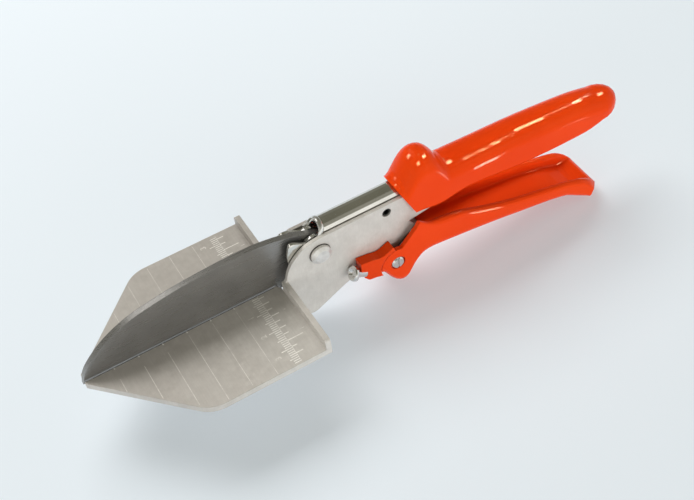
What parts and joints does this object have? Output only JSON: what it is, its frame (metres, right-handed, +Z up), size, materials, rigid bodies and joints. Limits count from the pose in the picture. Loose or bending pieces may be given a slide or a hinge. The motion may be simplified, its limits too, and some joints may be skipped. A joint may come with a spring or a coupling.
{
  "type": "profile shears",
  "caption": "Profile shears with a pivoting blade that closes into a slotted, fenced angle table, a hand latch and dipped handles.",
  "frame": {"origin": "centre of the bounding box at its lowest level, with the table's face level", "axes": "+X from the blade's tip towards the ends of the handles, +Y away from the latch side, +Z up from the table's face"},
  "size_m": [0.2426, 0.0762, 0.0644],
  "materials": {
    "frame_steel": "brushed",
    "channel_steel": "bright",
    "blade_steel": "ground",
    "fastener_steel": "plated",
    "spring_steel": "drawn",
    "grip_vinyl": "gloss",
    "latch_vinyl": "gloss"
  },
  "bodies": {
    "frame": {"near_cheek": "frame_steel", "far_cheek": "frame_steel", "upper_channel": "channel_steel", "main_rivet": "fastener_steel", "frame_rivet_front": "fastener_steel", "frame_rivet_rear": "fastener_steel", "spring_pin": "spring_steel", "opening_spring": "spring_steel", "upper_grip": "grip_vinyl", "blade_washer_near": "fastener_steel", "blade_washer_far": "fastener_steel"},
    "lever": {"blade": "blade_steel", "lower_core": "frame_steel", "lower_grip": "grip_vinyl", "cross_screw": "fastener_steel", "cross_nut": "fastener_steel", "screw_sleeve_near": "fastener_steel", "screw_sleeve_far": "fastener_steel", "tang_rivet": "fastener_steel", "tang_spacer_near": "fastener_steel", "tang_spacer_far": "fastener_steel"},
    "latch": {"latch_lever": "latch_vinyl", "latch_stud": "fastener_steel", "catch_pin": "fastener_steel"}
  },
  "joints": [
    {"name": "blade_pivot", "type": "hinge", "parent": "frame", "child": "lever", "pos_m": [-0.0218, 0.0011, 0.0414], "axis": [0, 1, 0], "range_deg": [0, 32]},
    {"name": "latch_pivot", "type": "hinge", "parent": "lever", "child": "latch", "pos_m": [0.0087, 0.0011, 0.0196], "axis": [0, -1, 0], "range_deg": [-18, 0]}
  ]
}
